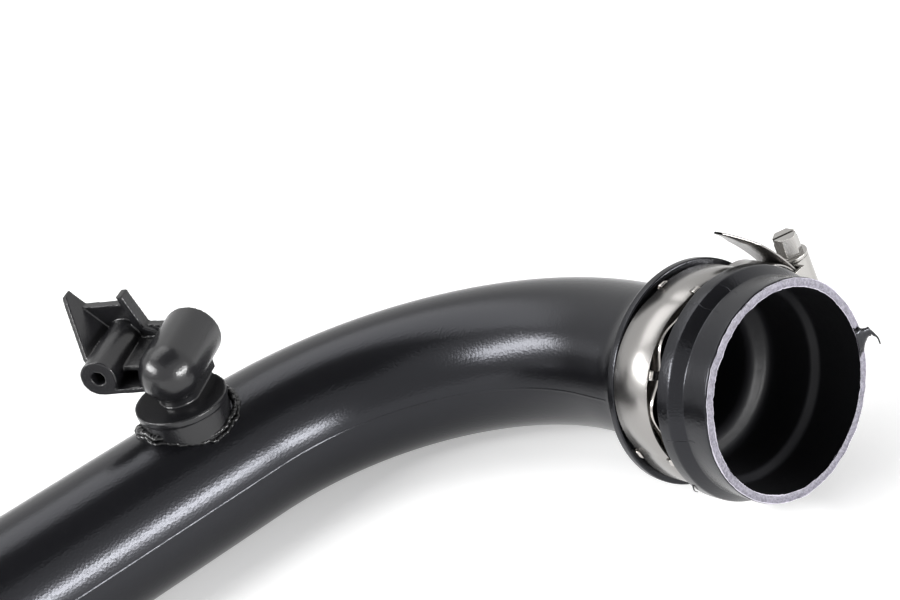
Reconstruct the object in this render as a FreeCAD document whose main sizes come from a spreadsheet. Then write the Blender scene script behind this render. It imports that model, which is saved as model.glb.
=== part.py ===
"""Charge air hose: a blow-moulded duct with a bend, a welded sensor port and a spring-lined worm clamp.

Lengths are in millimetres and angles in degrees.  The far end of the straight run starts at the
origin and runs along +X, the bend turns to -Y, and +Z is up.  At the end every piece is tipped about X
so that the straight run and the collar lie on the floor.
"""
import FreeCAD, Part
import math
import os
import Sketcher

SIZES = [
    # the duct
    ("pipe_radius", 27.5),
    ("pipe_wall", 2.5),
    ("straight_length", 200.0),
    ("bend_radius", 107.0),
    ("end_run", 31.0),
    # the coupling end, measured along its axis from the collar's back edge
    ("flare_length", 17.0),
    ("flare_round", 22.0),
    ("collar_radius", 40.0),
    ("collar_width", 3.2),
    ("groove_radius", 35.8),
    ("groove_width", 21.6),
    ("ridge_radius", 40.5),
    ("ridge_width", 5.2),
    ("cone_length", 4.3),
    ("sleeve_radius", 37.6),
    ("sleeve_length", 11.2),
    ("mouth_radius", 38.2),
    ("mouth_bore", 35.0),
    ("socket_radius", 32.6),
    ("socket_step", 2.5),
    ("shoulder_depth", 2.4),
    # the sensor port, in its own axes: along its tube, across to the screw boss, and up from the duct
    ("port_before_bend", 17.5),
    ("port_lean", 8.0),
    ("port_turn", 36.0),
    ("disc_height", 35.2),
    ("disc_radius", 17.2),
    ("disc_thickness", 2.4),
    ("pedestal_radius", 16.6),
    ("pedestal_foot_radius", 16.0),
    ("tube_radius", 11.2),
    ("tube_height", 47.6),
    ("tube_start", -1.5),
    ("tube_length", 26.2),
    ("tube_bore", 7.5),
    ("post_half_width", 7.2),
    ("post_short_of_tube", 5.0),
    ("channel_radius", 5.0),
    ("socket_past_channel", 0.8),
    ("boss_radius", 7.0),
    ("boss_hole_radius", 2.6),
    ("boss_front", 29.5),
    ("boss_across", 24.8),
    ("boss_above_tube", 3.0),
    ("plate_thickness", 3.6),
    ("plate_top", 64.0),
    ("plate_left", 45.6),
    ("plate_right", 20.4),
    ("fin_thickness", 2.4),
    ("fin_rise", 4.5),
    ("web_set_back", 7.8),
    ("web_front_height", 3.6),
    ("web_step", 3.0),
    ("web_step_drop", 2.4),
    ("shelf_thickness", 2.0),
    ("shelf_spacing", 5.0),
    ("upper_shelf_set_back", 7.0),
    # the clamp, measured from the coupling's axis and from the collar's back edge
    ("band_width", 15.8),
    ("band_thickness", 0.8),
    ("band_radius", 37.6),
    ("band_middle", 12.6),
    ("lobe_angle", 151.5),
    ("lobe_offset", 9.2),
    ("lobe_radius", 31.7),
    ("housing_angle", 6.0),
    ("housing_shift", 10.3),
    ("housing_lobe_offset", 26.6),
    ("housing_lobe_radius", 16.0),
    ("layer_gap", 0.15),
    ("tail_radius", 86.0),
    ("tail_length", 33.4),
    ("tail_tip_width", 4.0),
    ("tail_taper", 13.0),
    ("liner_width", 18.0),
    ("liner_thickness", 0.4),
    ("liner_clearance", 0.2),
    ("wave_phase", 28.5),
    ("tab_length", 3.2),
    ("tab_reach", 2.0),
    ("housing_length", 14.0),
    ("housing_wall", 1.0),
    ("housing_clearance", 0.3),
    ("screw_radius", 4.8),
    ("screw_clearance", 0.1),
    ("screw_flange_radius", 6.0),
    ("screw_flange_thickness", 1.4),
    ("hex_across_flats", 8.0),
    ("hex_height", 7.6),
    ("slot_width", 1.2),
    ("slot_depth", 1.8),
]
WAVES = 9
TAB_ANGLES = (98.3, 198.0, 298.0)
LUG_ANGLE = 148.5


class Size(float):
    """A number that keeps the formula which it came from, so that a feature can be bound to it."""

    def __new__(cls, value, text=None):
        size = float.__new__(cls, value)
        size.text = text or repr(float(value))
        return size

    def __add__(self, other):
        return joined(self, "+", other, float(self) + float(other))

    def __radd__(self, other):
        return joined(other, "+", self, float(other) + float(self))

    def __sub__(self, other):
        return joined(self, "-", other, float(self) - float(other))

    def __rsub__(self, other):
        return joined(other, "-", self, float(other) - float(self))

    def __mul__(self, other):
        return joined(self, "*", other, float(self) * float(other))

    __rmul__ = __mul__

    def __truediv__(self, other):
        return joined(self, "/", other, float(self) / float(other))

    def __neg__(self):
        return Size(-float(self), "(0 - %s)" % self.text)


def text_of(number):
    return number.text if isinstance(number, Size) else repr(float(number))


def joined(left, sign, right, value):
    return Size(value, "(%s %s %s)" % (text_of(left), sign, text_of(right)))


doc = FreeCAD.newDocument("charge_air_hose")
sheet = doc.addObject("Spreadsheet::Sheet", "sizes")
for row, (name, value) in enumerate(SIZES, start=1):
    sheet.set("A%d" % row, name)
    sheet.set("B%d" % row, str(value))
    sheet.setAlias("B%d" % row, name)
doc.recompute()


def size(name):
    return Size(sheet.get(name), "sizes." + name)


def bind(item, prop, number):
    """Set a property, and keep it tied to the sheet where the number came from there."""
    if isinstance(number, Size):
        item.setExpression(prop, number.text)
    else:
        setattr(item, prop, number)


def new_body(label):
    body = doc.addObject("PartDesign::Body", label)
    body.Label = label
    return body


def new_sketch(body, plane, name, offset=(0, 0, 0), axis=None, angle=0):
    """A sketch on one of the body's own origin planes, moved by offset and turned about axis."""
    sketch = body.newObject("Sketcher::SketchObject", name)
    face = [item for item in body.Origin.OriginFeatures if item.Role == plane][0]
    sketch.AttachmentSupport = [(face, "")]
    sketch.MapMode = "FlatFace"
    if axis:
        sketch.AttachmentOffset = FreeCAD.Placement(FreeCAD.Vector(), FreeCAD.Rotation(axis, float(angle)))
        if isinstance(angle, Size):
            sketch.setExpression("AttachmentOffset.Rotation.Angle", angle.text)
    for letter, number in zip("xyz", offset):
        if number != 0:
            sketch.setExpression("AttachmentOffset.Base." + letter, text_of(number))
    return sketch


def pin_point(sketch, geometry, end, x, y):
    """Hold one end of a line or an arc, or a circle's centre, at x, y."""
    for kind, number in (("DistanceX", x), ("DistanceY", y)):
        if abs(float(number)) < 1e-9:
            axis = -2 if kind == "DistanceX" else -1
            sketch.addConstraint(Sketcher.Constraint("PointOnObject", geometry, end, axis))
            continue
        places = (-1, 1, geometry, end) if number > 0 else (geometry, end, -1, 1)
        index = sketch.addConstraint(Sketcher.Constraint(kind, *places, abs(float(number))))
        if isinstance(number, Size):
            sketch.setExpression("Constraints[%d]" % index, (number if number > 0 else -number).text)


def arc_between(start, end, radius, left):
    """The shorter arc from start to end, with its centre to the left or the right of the chord."""
    chord = end - start
    middle = (start + end) * 0.5
    reach = math.sqrt(max(radius ** 2 - (chord.Length / 2) ** 2, 0))
    across = FreeCAD.Vector(-chord.y, chord.x, 0).normalize() * (1 if left else -1)
    centre = middle + across * reach
    through = centre - across * radius
    return Part.Arc(start, through, end)


def add_outline(sketch, points, closed=True):
    """Lines and arcs through points of (x, y) or (x, y, radius, side): the last two give the next arc."""
    corners = [FreeCAD.Vector(float(p[0]), float(p[1]), 0) for p in points]
    count = len(points) if closed else len(points) - 1
    edges = []
    for number in range(count):
        start, end = corners[number], corners[(number + 1) % len(points)]
        if len(points[number]) == 4:
            radius, side = points[number][2:]
            edge = sketch.addGeometry(arc_between(start, end, float(radius), side == "left"))
            ends = (1, 2) if side == "left" else (2, 1)
            index = sketch.addConstraint(Sketcher.Constraint("Radius", edge, float(radius)))
            if isinstance(radius, Size):
                sketch.setExpression("Constraints[%d]" % index, radius.text)
        else:
            edge = sketch.addGeometry(Part.LineSegment(start, end))
            ends = (1, 2)
        edges.append((edge,) + ends)
    for number, (edge, first, last) in enumerate(edges):
        if number + 1 < len(edges) or closed:
            after = edges[(number + 1) % len(edges)]
            sketch.addConstraint(Sketcher.Constraint("Coincident", edge, last, after[0], after[1]))
        pin_point(sketch, edge, first, *points[number][:2])
    if not closed:
        pin_point(sketch, edges[-1][0], edges[-1][2], *points[-1][:2])
    return sketch


def add_circle(sketch, x, y, radius):
    circle = Part.Circle(FreeCAD.Vector(float(x), float(y), 0), FreeCAD.Vector(0, 0, 1), float(radius))
    geometry = sketch.addGeometry(circle)
    index = sketch.addConstraint(Sketcher.Constraint("Radius", geometry, float(radius)))
    if isinstance(radius, Size):
        sketch.setExpression("Constraints[%d]" % index, radius.text)
    pin_point(sketch, geometry, 3, x, y)
    return sketch


def rectangle(low_x, low_y, high_x, high_y):
    return [(low_x, low_y), (high_x, low_y), (high_x, high_y), (low_x, high_y)]


def pad(body, sketch, length, name, reverse=False, kind="Pad"):
    feature = body.newObject("PartDesign::" + kind, name)
    feature.Profile = sketch
    bind(feature, "Length", length)
    feature.Reversed = reverse
    return feature


def pocket(body, sketch, length, name, reverse=False):
    """A cut that has to take something away."""
    doc.recompute()
    before = body.Shape.Volume
    feature = pad(body, sketch, length, name, reverse, "Pocket")
    doc.recompute()
    if body.Shape.Volume > before - 1e-6:
        raise RuntimeError(name + " cuts nothing")
    return feature


def revolve(body, sketch, name, kind="Revolution"):
    feature = body.newObject("PartDesign::" + kind, name)
    feature.Profile = sketch
    feature.ReferenceAxis = (sketch, ["V_Axis"])
    feature.Angle = 360
    return feature


X_AXIS = FreeCAD.Vector(1, 0, 0)
Y_AXIS = FreeCAD.Vector(0, 1, 0)
Z_AXIS = FreeCAD.Vector(0, 0, 1)

pipe_radius = size("pipe_radius")
pipe_bore = pipe_radius - size("pipe_wall")
bend_radius = size("bend_radius")
end_axis_x = size("straight_length") + bend_radius
collar_at = bend_radius + size("end_run")
port_x = size("straight_length") - size("port_before_bend")


def make_hose_body():
    """One moulding: straight run, bend, flare, collar, clamp groove, ridge and trimmed mouth."""
    body = new_body("hose_body")
    flare_start = collar_at - size("flare_length")
    wall = new_sketch(body, "YZ_Plane", "pipe_section")
    add_circle(wall, 0, 0, pipe_radius)
    add_circle(wall, 0, 0, pipe_bore)
    path = new_sketch(body, "XY_Plane", "pipe_path")
    add_outline(path, [
        (0, 0),
        (size("straight_length"), 0, bend_radius, "right"),
        (end_axis_x, -bend_radius),
        (end_axis_x, -flare_start),
    ], closed=False)
    sweep = body.newObject("PartDesign::AdditivePipe", "pipe_wall_sweep")
    sweep.Profile = wall
    sweep.Spine = path

    collar_front = collar_at + size("collar_width")
    groove_end = collar_front + size("groove_width")
    ridge_end = groove_end + size("ridge_width")
    cone_end = ridge_end + size("cone_length")
    mouth = cone_end + size("sleeve_length")
    shoulder = collar_front + size("shoulder_depth")
    section = new_sketch(body, "XY_Plane", "coupling_section", (end_axis_x, 0, 0), X_AXIS, 180)
    add_outline(section, [
        (pipe_bore, flare_start),
        (pipe_radius, flare_start, size("flare_round"), "right"),
        (size("collar_radius"), collar_at),
        (size("collar_radius"), collar_front),
        (size("groove_radius"), collar_front),
        (size("groove_radius"), groove_end),
        (size("ridge_radius"), groove_end),
        (size("ridge_radius"), ridge_end),
        (size("sleeve_radius"), cone_end),
        (size("mouth_radius"), mouth),
        (size("mouth_bore"), mouth),
        (size("mouth_bore"), groove_end + size("socket_step")),
        (size("socket_radius"), groove_end),
        (size("socket_radius"), shoulder),
        (pipe_bore, collar_front),
    ])
    revolve(body, section, "coupling_end")
    vent = new_sketch(body, "XY_Plane", "port_opening", (port_x, 0, 0), X_AXIS, size("port_lean"))
    add_circle(vent, 0, 0, size("channel_radius"))
    pocket(body, vent, pipe_radius + size("pipe_wall"), "port_opening_cut", reverse=True)
    return body


def make_sensor_port():
    """One moulding, welded on: saddle foot, disc, blind tube, screw boss and the sensor's back plate.

    Its own X runs along the tube to the sensor's mouth, Y across to the boss and Z up from the duct.
    """
    body = new_body("sensor_port")
    disc_top = size("disc_height")
    tube_r = size("tube_radius")
    tube_z = size("tube_height")
    start = size("tube_start")
    back = start + size("tube_length")
    front = back - size("plate_thickness")
    boss_start = front - size("boss_front")
    boss_z = tube_z + size("boss_above_tube")
    across = size("boss_across")

    foot = new_sketch(body, "XZ_Plane", "foot_section")
    disc_under = disc_top - size("disc_thickness")
    add_outline(foot, [
        (0, 0),
        (size("pedestal_foot_radius"), 0),
        (size("pedestal_radius"), disc_under),
        (size("disc_radius"), disc_under),
        (size("disc_radius"), disc_top),
        (0, disc_top),
    ])
    revolve(body, foot, "pedestal_and_disc")

    half_post = size("post_half_width")
    neck = new_sketch(body, "XY_Plane", "neck_circle", (0, 0, disc_top))
    add_circle(neck, 0, 0, half_post)
    pad(body, neck, tube_z - disc_top, "neck")
    post = new_sketch(body, "XY_Plane", "post_outline", (0, 0, disc_top))
    add_outline(post, rectangle(0, -half_post, back - size("post_short_of_tube"), half_post))
    pad(body, post, tube_z - disc_top, "post")
    tube = new_sketch(body, "YZ_Plane", "tube_circle", (0, 0, start))
    add_circle(tube, 0, tube_z, tube_r)
    pad(body, tube, size("tube_length"), "tube")
    dome = new_sketch(body, "XZ_Plane", "dome_section", (start, tube_z, 0))
    add_outline(dome, [(0, -tube_r, tube_r, "left"), (tube_r, 0, tube_r, "left"), (0, tube_r)])
    revolve(body, dome, "dome")

    boss = new_sketch(body, "YZ_Plane", "boss_circle", (0, 0, boss_start))
    add_circle(boss, across, boss_z, size("boss_radius"))
    pad(body, boss, back - boss_start, "boss")
    plate = new_sketch(body, "YZ_Plane", "plate_outline", (0, 0, front))
    left, right, top = size("plate_left"), size("plate_right"), size("plate_top")
    fin = size("fin_thickness")
    boss_edge = across + size("boss_radius") - fin / 2
    add_outline(plate, [
        (left, top),
        (boss_edge, boss_z),
        (across, boss_z - size("boss_radius")),
        (0, tube_z - tube_r),
        (0, tube_z + tube_r / 2),
        (right - 2 * fin, top - 4 * fin),
        (right, top),
    ])
    pad(body, plate, size("plate_thickness"), "back_plate")

    tip = top + size("fin_rise")
    # The left web leans out from the boss's side to the plate's tip, and steps down to the boss's front.
    aside, rise = boss_edge - left, tip - boss_z
    lean = Size(math.degrees(math.atan2(aside, rise)), "atan2(%s; %s)" % (aside.text, rise.text))
    slant = Size(math.hypot(aside, rise), "hypot(%s; %s)" % (aside.text, rise.text))
    web = new_sketch(body, "XZ_Plane", "left_web_outline", (0, boss_z, -boss_edge), X_AXIS, lean)
    web_front = boss_start + size("web_set_back")
    add_outline(web, [
        (back, 0),
        (web_front, 0),
        (web_front, size("web_front_height")),
        (front - size("web_step"), slant - size("web_step_drop")),
        (front, slant),
        (back, slant),
    ])
    pad(body, web, fin, "left_web")
    right_fin = new_sketch(body, "YZ_Plane", "right_fin_outline", (0, 0, front - fin))
    add_outline(right_fin, [
        (right, tip),
        (right + fin, tip),
        (right - fin, tube_z),
        (0, tube_z),
        (right - 2 * fin, top - 4 * fin),
    ])
    pad(body, right_fin, fin + size("plate_thickness"), "right_fin")

    shelf = size("shelf_thickness")
    for name, level, begin in (("upper_shelf", boss_z - shelf, boss_start + size("upper_shelf_set_back")),
                               ("lower_shelf", boss_z - shelf - size("shelf_spacing"), boss_start)):
        ledge = new_sketch(body, "XY_Plane", name + "_outline", (0, 0, level))
        add_outline(ledge, rectangle(begin, 0, back, across))
        pad(body, ledge, shelf, name)

    saddle = new_sketch(body, "YZ_Plane", "saddle_circle", (0, 0, 0), Y_AXIS, -size("port_turn"))
    add_circle(saddle, 0, 0, pipe_radius)
    doc.recompute()
    cut = pocket(body, saddle, 4 * size("disc_radius"), "saddle_cut")
    cut.Midplane = True
    channel = new_sketch(body, "XY_Plane", "channel_circle")
    add_circle(channel, 0, 0, size("channel_radius"))
    pocket(body, channel, tube_z, "channel_cut", reverse=True)
    socket_end = size("channel_radius") + size("socket_past_channel")
    socket = new_sketch(body, "YZ_Plane", "socket_circle", (0, 0, -socket_end))
    add_circle(socket, 0, tube_z, size("tube_bore"))
    pocket(body, socket, back + socket_end, "sensor_socket", reverse=True)
    screw_hole = new_sketch(body, "YZ_Plane", "boss_hole_circle", (0, 0, boss_start))
    add_circle(screw_hole, across, boss_z, size("boss_hole_radius"))
    pocket(body, screw_hole, back - boss_start, "boss_hole", reverse=True)
    return body


def turn(degrees, radius=1.0, centre=(0.0, 0.0)):
    """The point at an angle on a circle, in the clamp's plane."""
    angle = math.radians(degrees)
    return FreeCAD.Vector(centre[0] + radius * math.cos(angle), centre[1] + radius * math.sin(angle), 0)


class BandShape:
    """The clamp band's line: a circle on the hose with two lobes that stand off, and a free tail.

    Every piece of it is an arc, and the angles where two arcs meet follow from their radii.
    """

    def __init__(self):
        self.base = float(size("band_radius"))
        self.lobe_angle = float(size("lobe_angle"))
        self.lobe = (float(size("lobe_offset")), float(size("lobe_radius")))
        self.house_angle = float(size("housing_angle"))
        self.house = (float(size("housing_lobe_offset")), float(size("housing_lobe_radius")))
        self.thickness = float(size("band_thickness"))
        self.layer = self.thickness + float(size("layer_gap"))
        self.lobe_centre = turn(self.lobe_angle, self.lobe[0])
        self.shift = float(size("housing_shift"))
        self.house_centre = turn(self.house_angle, self.house[0]) + turn(self.house_angle + 90, self.shift)
        # the housing's lobe as seen from the axis: the way to its centre, and how far that is
        self.house_way = self.house_angle + math.degrees(math.atan2(self.shift, self.house[0]))
        self.house_far = math.hypot(self.shift, self.house[0])
        self.half_house = float(size("housing_length")) / 2

    def radius_at(self, degrees, side=0.0):
        """Distance from the axis to the inner layer at an angle, moved out by side."""
        found = self.base + side
        lobes = ((self.lobe_angle, *self.lobe), (self.house_way, self.house_far, self.house[1]))
        for angle, offset, radius in lobes:
            gap = math.radians(degrees - angle)
            inside = (radius + side) ** 2 - (offset * math.sin(gap)) ** 2
            if inside > 0:
                found = max(found, offset * math.cos(gap) + math.sqrt(inside))
        return found

    def under_housing(self, degrees, level):
        """Distance from the axis to the housing's underside at an angle, and endless where there is none."""
        gap = math.radians(degrees - self.house_angle)
        if math.cos(gap) <= 0:
            return math.inf
        aside = abs(level * math.tan(gap) - self.shift)
        return level / math.cos(gap) if aside < 2 * self.half_house else math.inf

    def meeting(self, base, offset, radius):
        """Half the angle over which a lobe stands outside the base circle, seen from the axis."""
        return math.degrees(math.acos((base ** 2 + offset ** 2 - radius ** 2) / (2 * base * offset)))

    def edges(self, side):
        """The arcs of the band's line moved out by side, from the fixed end to the tail's tip."""
        base = self.base + side
        lobe_r, house_r = self.lobe[1] + side, self.house[1] + side
        outer_r = house_r + self.layer
        half_lobe = self.meeting(base, self.lobe[0], lobe_r)
        half_house = self.meeting(base, self.house_far, house_r)
        half_outer = self.meeting(base, self.house_far, outer_r)
        under = math.degrees(self.half_house / self.house[1])
        fixed_end = turn(self.house_angle - under, house_r, self.house_centre)
        fixed_middle = turn(self.house_angle, house_r, self.house_centre)
        off_house = turn(self.house_way + half_house, base)
        on_lobe = turn(self.lobe_angle - half_lobe, base)
        off_lobe = turn(self.lobe_angle + half_lobe, base)
        on_house = turn(self.house_way - half_outer + 360, base)
        leave = self.house_angle + under
        lift_off = turn(leave, outer_r, self.house_centre)
        tail_r = float(size("tail_radius"))
        tail_centre = self.house_centre + turn(leave, self.house[1] + self.layer - tail_r)
        swing = math.degrees(float(size("tail_length")) / tail_r)
        middle_tail = turn(leave + swing / 2, tail_r + side, tail_centre)
        tip = turn(leave + swing, tail_r + side, tail_centre)
        gap_middle = (self.house_way + half_house + self.lobe_angle - half_lobe) / 2
        low_middle = (self.lobe_angle + half_lobe + self.house_way - half_outer + 360) / 2
        return [
            Part.Arc(fixed_end, fixed_middle, off_house).toShape(),
            Part.Arc(off_house, turn(gap_middle, base), on_lobe).toShape(),
            Part.Arc(on_lobe, turn(self.lobe_angle, lobe_r, self.lobe_centre), off_lobe).toShape(),
            Part.Arc(off_lobe, turn(low_middle, base), on_house).toShape(),
            Part.Arc(on_house, turn(self.house_angle, outer_r, self.house_centre), lift_off).toShape(),
            Part.Arc(lift_off, middle_tail, tip).toShape(),
        ], fixed_end, tip


def make_clamp_band():
    """One strip of steel: once round the hose, on through the housing, and out in a tapered tail."""
    shape = BandShape()
    half = shape.thickness / 2
    outer, outer_start, outer_tip = shape.edges(half)
    inner, inner_start, inner_tip = shape.edges(-half)
    ends = [Part.makeLine(outer_tip, inner_tip), Part.makeLine(inner_start, outer_start)]
    outline = Part.Wire(Part.__sortEdges__(outer + inner + ends))
    width = float(size("band_width"))
    strip = Part.Face(outline).extrude(FreeCAD.Vector(0, 0, width))
    tail_way = (outer[-1].valueAt(outer[-1].LastParameter)
                - outer[-1].valueAt((outer[-1].FirstParameter + outer[-1].LastParameter) / 2)).normalize()
    normal = FreeCAD.Vector(tail_way.y, -tail_way.x, 0)
    tip_middle = (outer_tip + inner_tip) * 0.5
    taper, narrow = float(size("tail_taper")), float(size("tail_tip_width"))
    deep = 2 * taper
    for lower in (True, False):
        edge = 0 if lower else width
        tip_edge = width / 2 - narrow / 2 if lower else width / 2 + narrow / 2
        past = -deep if lower else width + deep
        corners = [
            tip_middle - tail_way * taper + Z_AXIS * edge,
            tip_middle + Z_AXIS * tip_edge,
            tip_middle + tail_way * taper + Z_AXIS * tip_edge,
            tip_middle + tail_way * taper + Z_AXIS * past,
            tip_middle - tail_way * taper + Z_AXIS * past,
        ]
        wedge = Part.Face(Part.makePolygon(corners + corners[:1]))
        wedge.translate(normal * -taper)
        strip = strip.cut(wedge.extrude(normal * deep))
    band = doc.addObject("Part::Feature", "clamp_band")
    band.Label = "clamp_band"
    band.Shape = strip.Solids[0] if len(strip.Solids) == 1 else strip
    return band


def housing_levels():
    """Radii, at the housing's middle, of the slot for the two band layers and of the screw's axis."""
    lobe_top = size("housing_lobe_offset") + size("housing_lobe_radius")
    sag = size("housing_length") * size("housing_length") / (8 * size("housing_lobe_radius"))
    slot_low = lobe_top - size("band_thickness") / 2 - sag - size("housing_clearance")
    slot_high = lobe_top + 1.5 * size("band_thickness") + size("layer_gap") + size("housing_clearance")
    return slot_low, slot_high, slot_high + size("screw_radius")


def make_clamp_liner():
    """The wave spring inside the band: touches the hose and the band in turn, with tabs over the band."""
    shape = BandShape()
    thick = float(size("liner_thickness"))
    room = float(size("liner_clearance"))
    width = float(size("liner_width"))
    underside = float(housing_levels()[0] - size("housing_wall"))
    floor = float(size("groove_radius")) + room + thick / 2
    start = float(size("wave_phase"))
    steps = WAVES * 12
    step = 360.0 / steps

    def ceiling(degrees):
        """The lowest that the band and the housing come at a point of the line and beside it."""
        beside = (degrees - step, degrees, degrees + step)
        return min(min(shape.radius_at(at, -shape.thickness / 2), shape.under_housing(at, underside))
                   for at in beside)

    def line(side):
        points = []
        for number in range(1, steps):
            degrees = start + step * number
            crest = ceiling(degrees) - room - thick / 2
            rise = (1 - math.cos(math.radians(WAVES * (degrees - start)))) / 2
            points.append(turn(degrees, floor + (crest - floor) * rise + side))
        curve = Part.BSplineCurve()
        curve.interpolate(points)
        return curve.toShape(), points[0], points[-1]

    outer, outer_first, outer_last = line(thick / 2)
    inner, inner_first, inner_last = line(-thick / 2)
    ends = [Part.makeLine(outer_first, inner_first), Part.makeLine(outer_last, inner_last)]
    outline = Part.Wire(Part.__sortEdges__([outer, inner] + ends))
    strip = Part.Face(outline).extrude(FreeCAD.Vector(0, 0, width))
    wall = (width - float(size("band_width"))) / 2 - room
    tab = float(size("tab_length"))
    reach = float(size("tab_reach"))
    pieces = []
    for degrees in TAB_ANGLES:
        crest = shape.radius_at(degrees, shape.thickness / 2) + room
        for stand_at, fold_at in ((0, 0), (width - wall, width - wall - reach)):
            stand = Part.makeBox(crest + thick - floor, tab, wall, FreeCAD.Vector(floor, -tab / 2, stand_at))
            fold = Part.makeBox(thick, tab, wall + reach, FreeCAD.Vector(crest, -tab / 2, fold_at))
            hook = stand.fuse(fold)
            hook.rotate(FreeCAD.Vector(), Z_AXIS, degrees)
            pieces.append(hook)
    lug = Part.makeBox(reach, tab, wall, FreeCAD.Vector(floor, -tab / 2, width - wall))
    lug.rotate(FreeCAD.Vector(), Z_AXIS, LUG_ANGLE)
    spring = strip.multiFuse(pieces + [lug])
    liner = doc.addObject("Part::Feature", "clamp_liner")
    liner.Label = "clamp_liner"
    liner.Shape = spring.Solids[0] if len(spring.Solids) == 1 else spring
    return liner


def make_clamp_housing():
    """The folded steel housing: a floor under the band, two sides and an arch over the screw.

    Its own X is across the hose, along the coupling's axis, Y is out from the axis and Z along the screw.
    """
    body = new_body("clamp_housing")
    wall = size("housing_wall")
    half_slot = size("band_width") / 2 + size("housing_clearance")
    low, high, axis = housing_levels()
    bore = size("screw_radius") + size("screw_clearance")
    arch = bore + wall
    shell = new_sketch(body, "XY_Plane", "shell_outline", (0, 0, -size("housing_length") / 2))
    add_outline(shell, [
        (-half_slot - wall, low - wall),
        (half_slot + wall, low - wall),
        (half_slot + wall, high + wall),
        (arch, high + wall),
        (arch, axis, arch, "left"),
        (0, axis + arch, arch, "left"),
        (-arch, axis),
        (-arch, high + wall),
        (-half_slot - wall, high + wall),
    ])
    pad(body, shell, size("housing_length"), "shell")
    slot = new_sketch(body, "XY_Plane", "slot_outline", (0, 0, -size("housing_length") / 2))
    add_outline(slot, rectangle(-half_slot, low, half_slot, high))
    pocket(body, slot, size("housing_length"), "band_slot", reverse=True)
    barrel = new_sketch(body, "XY_Plane", "barrel_outline", (0, 0, -size("housing_length") / 2))
    add_circle(barrel, 0, axis, bore)
    pocket(body, barrel, size("housing_length"), "screw_barrel", reverse=True)
    return body


def make_clamp_screw():
    """The worm screw: threaded shank in the housing, a flange and a slotted hexagon head."""
    body = new_body("clamp_screw")
    gap = size("screw_clearance")
    length = size("housing_length")
    shank = new_sketch(body, "XY_Plane", "shank_circle", (0, 0, -length / 2))
    add_circle(shank, 0, 0, size("screw_radius"))
    pad(body, shank, length + gap, "shank")
    flange = new_sketch(body, "XY_Plane", "flange_circle", (0, 0, length / 2 + gap))
    add_circle(flange, 0, 0, size("screw_flange_radius"))
    pad(body, flange, size("screw_flange_thickness"), "flange")
    base = length / 2 + gap + size("screw_flange_thickness")
    head = new_sketch(body, "XY_Plane", "hexagon", (0, 0, base))
    half = size("hex_across_flats") / 2
    corner = half * (2 / math.sqrt(3))
    add_outline(head, [(corner, 0), (corner / 2, half), (-corner / 2, half),
                       (-corner, 0), (-corner / 2, -half), (corner / 2, -half)])
    pad(body, head, size("hex_height"), "head")
    slot = new_sketch(body, "XY_Plane", "slot_outline", (0, 0, base + size("hex_height")))
    half_slot = size("slot_width") / 2
    add_outline(slot, rectangle(-2 * half, -half_slot, 2 * half, half_slot))
    pocket(body, slot, size("slot_depth"), "driver_slot")
    return body


hose_body = make_hose_body()
sensor_port = make_sensor_port()
clamp_band = make_clamp_band()
clamp_liner = make_clamp_liner()
clamp_housing = make_clamp_housing()
clamp_screw = make_clamp_screw()
doc.recompute()

# Places in the duct's own axes.  The clamp's plane has +X across, +Z up and looks out of the mouth.
in_clamp = FreeCAD.Placement(FreeCAD.Vector(end_axis_x, -collar_at, 0), FreeCAD.Rotation(X_AXIS, 90))
housing_turn = FreeCAD.Placement(FreeCAD.Vector(), FreeCAD.Rotation(Z_AXIS, float(size("housing_angle"))))
# The housing's own X, Y, Z lie along the mouth's axis, out from it, and round towards rising angles.
housing_axes = FreeCAD.Rotation(Z_AXIS, X_AXIS, Y_AXIS, "ZXY")
in_housing = in_clamp.multiply(housing_turn).multiply(
    FreeCAD.Placement(FreeCAD.Vector(0, float(size("housing_shift")), float(size("band_middle"))), housing_axes))
screw_axis = housing_levels()[2]
in_screw = in_housing.multiply(FreeCAD.Placement(FreeCAD.Vector(0, float(screw_axis), 0), FreeCAD.Rotation()))
on_pipe = FreeCAD.Placement(FreeCAD.Vector(port_x, 0, 0), FreeCAD.Rotation(X_AXIS, float(size("port_lean"))))
in_port = on_pipe.multiply(FreeCAD.Placement(
    FreeCAD.Vector(), FreeCAD.Rotation(Z_AXIS, float(size("port_turn")))))


def along_mouth(width):
    """The clamp's plane moved so that a strip of this width has its middle where the band's is."""
    low = float(size("band_middle") - width / 2)
    return in_clamp.multiply(FreeCAD.Placement(FreeCAD.Vector(0, 0, low), FreeCAD.Rotation()))


places = [
    (hose_body, FreeCAD.Placement()),
    (sensor_port, in_port),
    (clamp_band, along_mouth(size("band_width"))),
    (clamp_liner, along_mouth(size("liner_width"))),
    (clamp_housing, in_housing),
    (clamp_screw, in_screw),
]

# At rest the whole straight run and the collar's edge touch the floor, so the mouth looks up a little.
reach = math.hypot(collar_at, size("collar_radius"))
tilt = math.degrees(math.atan2(size("collar_radius"), collar_at) - math.asin(pipe_radius / reach))
lying = FreeCAD.Placement(FreeCAD.Vector(0, 0, pipe_radius), FreeCAD.Rotation(X_AXIS, -tilt))
for piece, place in places:
    piece.Placement = lying.multiply(place)
doc.recompute()
box = FreeCAD.BoundBox()
for piece, place in places:
    box.add(piece.Shape.optimalBoundingBox(False, False))
centred = FreeCAD.Placement(FreeCAD.Vector(-box.Center.x, -box.Center.y, 0), FreeCAD.Rotation())
for piece, place in places:
    piece.Placement = centred.multiply(lying).multiply(place)
doc.recompute()

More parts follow.
